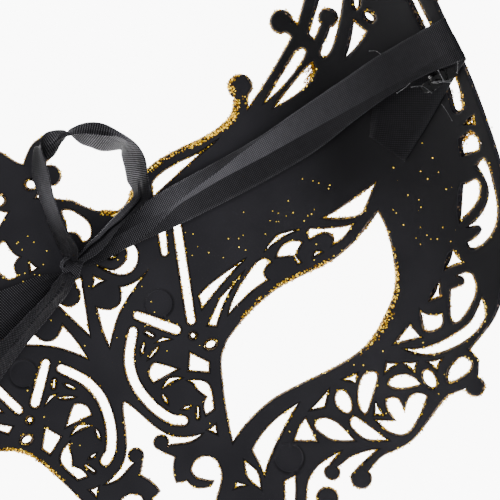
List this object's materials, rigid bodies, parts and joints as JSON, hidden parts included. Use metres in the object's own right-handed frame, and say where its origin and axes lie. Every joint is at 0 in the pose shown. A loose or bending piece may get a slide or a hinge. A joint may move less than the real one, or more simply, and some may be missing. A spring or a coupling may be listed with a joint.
{
  "type": "masquerade mask",
  "caption": "Black moulded filigree fox half mask with slanted eyes, pointed ears and a muzzle, satin ribbons glued inside its sides and knotted over the forehead.",
  "frame": {"origin": "middle of the footprint, on the surface the mask lies on face down", "axes": "+X towards the ear on the right seen from above, +Y towards the ears' tips, +Z out of the hollow, towards the wearer's face"},
  "size_m": [0.1914, 0.1472, 0.0463],
  "materials": {
    "black_plastic": "satin black inside, gold glitter over the front",
    "black_satin": "woven satin",
    "clear_glue": "clear and glossy"
  },
  "bodies": {
    "root": {"mask": "black_plastic", "ribbon_right": "black_satin", "ribbon_left": "black_satin", "glue_right": "clear_glue", "glue_left": "clear_glue"}
  },
  "joints": []
}
